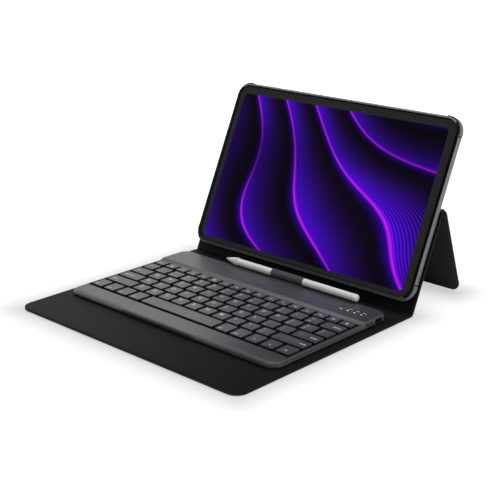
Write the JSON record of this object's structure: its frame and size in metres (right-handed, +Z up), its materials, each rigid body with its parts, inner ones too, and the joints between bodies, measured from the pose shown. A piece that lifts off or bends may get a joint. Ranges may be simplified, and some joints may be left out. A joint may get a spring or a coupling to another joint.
{
  "type": "tablet keyboard case",
  "caption": "Folio case for a tablet: hinged covers with a fold-out kickstand, a tablet tray with corner bumpers, a slim wireless keyboard with moving keys and a stylus in a loop.",
  "frame": {"origin": "on the table, at the middle of the base panel's underside, 90 mm in front of the crease between base panel and spine", "axes": "+X to the typist's right, along the creases; +Y away from the typist, towards the kickstand; +Z up"},
  "size_m": [0.2594, 0.2978, 0.1623],
  "materials": {
    "cover_skin": "black grained synthetic leather, matt",
    "cover_lining": "charcoal brushed microfibre",
    "stiffener": "pressed fibre board, hidden inside the covers",
    "tray_plastic": "grey moulded polymer, fine matt texture, black front lip",
    "bumper_rubber": "soft grey thermoplastic rubber",
    "deck_paint": "dark grey painted polymer, satin",
    "case_black": "black moulded polymer",
    "key_cap": "dark grey keycaps with pale printed characters",
    "membrane": "black rubber dome sheet",
    "magnet_steel": "nickel-plated",
    "port_steel": "bright tin-plated shell",
    "circuit": "green solder mask, hidden inside the keyboard",
    "battery": "foil pouch, hidden inside the keyboard",
    "tablet_metal": "dark grey anodised",
    "tablet_glass": "black glass front over a lit display",
    "camera_glass": "dark glass",
    "indicator": "clear light guides",
    "pen_plastic": "pale grey satin polymer",
    "loop_elastic": "dark grey elastic webbing"
  },
  "bodies": {
    "base": {"base_outer_skin": "cover_skin", "base_board": "stiffener", "base_inner_lining": "cover_lining", "keyboard_holding_magnets": "magnet_steel"},
    "spine": {"spine_outer_skin": "cover_skin", "spine_board": "stiffener"},
    "rear_cover": {"rear_outer_skin": "cover_skin", "rear_board": "stiffener", "rear_inner_lining": "cover_lining", "tray_shell": "tray_plastic", "tray_bumper_lower_left": "bumper_rubber", "tray_bumper_lower_right": "bumper_rubber", "tray_bumper_upper_left": "bumper_rubber", "tray_bumper_upper_right": "bumper_rubber"},
    "stand_strip": {"stand_strip_outer_skin": "cover_skin", "stand_strip_board": "stiffener"},
    "stand_flap": {"stand_flap_outer_skin": "cover_skin", "stand_flap_board": "stiffener", "stand_flap_inner_lining": "cover_lining"},
    "tablet": {"tablet_housing": "tablet_metal", "tablet_front_glass": "tablet_glass", "tablet_camera": "camera_glass"},
    "volume_button": {"volume_button_cover": "bumper_rubber"},
    "power_button": {"power_button_cover": "bumper_rubber"},
    "keyboard": {"keyboard_bottom_case": "case_black", "keyboard_top_case": "deck_paint", "key_membrane": "membrane", "battery_pack": "battery", "controller_board": "circuit", "charging_port": "port_steel", "indicator_lights": "indicator", "pen_loop": "loop_elastic"},
    "power_switch": {"power_switch": "case_black"},
    "stylus": {"stylus_tip": "pen_plastic", "stylus_barrel": "pen_plastic", "stylus_cap": "pen_plastic"},
    "escape_key": {"escape_key": "key_cap"},
    "function_keys": {"function_keys": "key_cap"},
    "lock_key": {"lock_key": "key_cap"},
    "number_keys": {"number_keys": "key_cap"},
    "backspace_key": {"backspace_key": "key_cap"},
    "tab_key": {"tab_key": "key_cap"},
    "upper_letter_keys": {"upper_letter_keys": "key_cap"},
    "backslash_key": {"backslash_key": "key_cap"},
    "caps_lock_key": {"caps_lock_key": "key_cap"},
    "middle_letter_keys": {"middle_letter_keys": "key_cap"},
    "enter_key": {"enter_key": "key_cap"},
    "left_shift_key": {"left_shift_key": "key_cap"},
    "lower_letter_keys": {"lower_letter_keys": "key_cap"},
    "right_shift_key": {"right_shift_key": "key_cap"},
    "left_modifier_keys": {"left_modifier_keys": "key_cap"},
    "space_key": {"space_key": "key_cap"},
    "right_modifier_keys": {"right_modifier_keys": "key_cap"},
    "arrow_keys": {"arrow_keys": "key_cap"}
  },
  "joints": [
    {"name": "base_spine_fold", "type": "hinge", "parent": "base", "child": "spine", "pos_m": [0, 0.09, 0.00135], "axis": [1, 0, 0], "range_deg": [0, 90]},
    {"name": "rear_cover_fold", "type": "hinge", "parent": "spine", "child": "rear_cover", "pos_m": [0, 0.1093, 0.00135], "axis": [1, 0, 0], "range_deg": [-65.4, 24.6]},
    {"name": "kickstand_fold", "type": "hinge", "parent": "rear_cover", "child": "stand_strip", "pos_m": [0, 0.14793, 0.08573], "axis": [-1, 0, 0], "range_deg": [-84.9, 25]},
    {"name": "kickstand_flap_fold", "type": "hinge", "parent": "stand_strip", "child": "stand_flap", "pos_m": [0, 0.16066, 0.08122], "axis": [-1, 0, 0], "range_deg": [-50.31, 14.82]},
    {"name": "keyboard_lift", "type": "slide", "parent": "base", "child": "keyboard", "axis": [0, 0, -1], "range_m": [-0.06, 0]},
    {"name": "tablet_release", "type": "slide", "parent": "rear_cover", "child": "tablet", "axis": [0, 0.9092, -0.4163], "range_m": [-0.045, 0]},
    {"name": "stylus_slide", "type": "slide", "parent": "keyboard", "child": "stylus", "axis": [-1, 0, 0], "range_m": [-0.12, 0]},
    {"name": "switch_slide", "type": "slide", "parent": "keyboard", "child": "power_switch", "axis": [0, 1, 0], "range_m": [-0.0015, 0.0015]},
    {"name": "tray_volume_press", "type": "slide", "parent": "rear_cover", "child": "volume_button", "axis": [0, -0.4163, -0.9092], "range_m": [0, 0.0004], "stiffness_N_per_m": 1500},
    {"name": "tray_power_press", "type": "slide", "parent": "rear_cover", "child": "power_button", "axis": [0, -0.4163, -0.9092], "range_m": [0, 0.0004], "stiffness_N_per_m": 1500},
    {"name": "travel_escape", "type": "slide", "parent": "keyboard", "child": "escape_key", "axis": [0, 0, -1], "range_m": [0, 0.0012], "stiffness_N_per_m": 400},
    {"name": "travel_function", "type": "slide", "parent": "keyboard", "child": "function_keys", "axis": [0, 0, -1], "range_m": [0, 0.0012], "stiffness_N_per_m": 400},
    {"name": "travel_lock", "type": "slide", "parent": "keyboard", "child": "lock_key", "axis": [0, 0, -1], "range_m": [0, 0.0012], "stiffness_N_per_m": 400},
    {"name": "travel_number", "type": "slide", "parent": "keyboard", "child": "number_keys", "axis": [0, 0, -1], "range_m": [0, 0.0012], "stiffness_N_per_m": 400},
    {"name": "travel_backspace", "type": "slide", "parent": "keyboard", "child": "backspace_key", "axis": [0, 0, -1], "range_m": [0, 0.0012], "stiffness_N_per_m": 400},
    {"name": "travel_tab", "type": "slide", "parent": "keyboard", "child": "tab_key", "axis": [0, 0, -1], "range_m": [0, 0.0012], "stiffness_N_per_m": 400},
    {"name": "travel_upper_letter", "type": "slide", "parent": "keyboard", "child": "upper_letter_keys", "axis": [0, 0, -1], "range_m": [0, 0.0012], "stiffness_N_per_m": 400},
    {"name": "travel_backslash", "type": "slide", "parent": "keyboard", "child": "backslash_key", "axis": [0, 0, -1], "range_m": [0, 0.0012], "stiffness_N_per_m": 400},
    {"name": "travel_caps_lock", "type": "slide", "parent": "keyboard", "child": "caps_lock_key", "axis": [0, 0, -1], "range_m": [0, 0.0012], "stiffness_N_per_m": 400},
    {"name": "travel_middle_letter", "type": "slide", "parent": "keyboard", "child": "middle_letter_keys", "axis": [0, 0, -1], "range_m": [0, 0.0012], "stiffness_N_per_m": 400},
    {"name": "travel_enter", "type": "slide", "parent": "keyboard", "child": "enter_key", "axis": [0, 0, -1], "range_m": [0, 0.0012], "stiffness_N_per_m": 400},
    {"name": "travel_left_shift", "type": "slide", "parent": "keyboard", "child": "left_shift_key", "axis": [0, 0, -1], "range_m": [0, 0.0012], "stiffness_N_per_m": 400},
    {"name": "travel_lower_letter", "type": "slide", "parent": "keyboard", "child": "lower_letter_keys", "axis": [0, 0, -1], "range_m": [0, 0.0012], "stiffness_N_per_m": 400},
    {"name": "travel_right_shift", "type": "slide", "parent": "keyboard", "child": "right_shift_key", "axis": [0, 0, -1], "range_m": [0, 0.0012], "stiffness_N_per_m": 400},
    {"name": "travel_left_modifier", "type": "slide", "parent": "keyboard", "child": "left_modifier_keys", "axis": [0, 0, -1], "range_m": [0, 0.0012], "stiffness_N_per_m": 400},
    {"name": "travel_space", "type": "slide", "parent": "keyboard", "child": "space_key", "axis": [0, 0, -1], "range_m": [0, 0.0012], "stiffness_N_per_m": 400},
    {"name": "travel_right_modifier", "type": "slide", "parent": "keyboard", "child": "right_modifier_keys", "axis": [0, 0, -1], "range_m": [0, 0.0012], "stiffness_N_per_m": 400},
    {"name": "travel_arrow", "type": "slide", "parent": "keyboard", "child": "arrow_keys", "axis": [0, 0, -1], "range_m": [0, 0.0012], "stiffness_N_per_m": 400}
  ],
  "couplings": [
    {"joint": "kickstand_flap_fold", "follows": "kickstand_fold", "ratio": 0.59246}
  ]
}
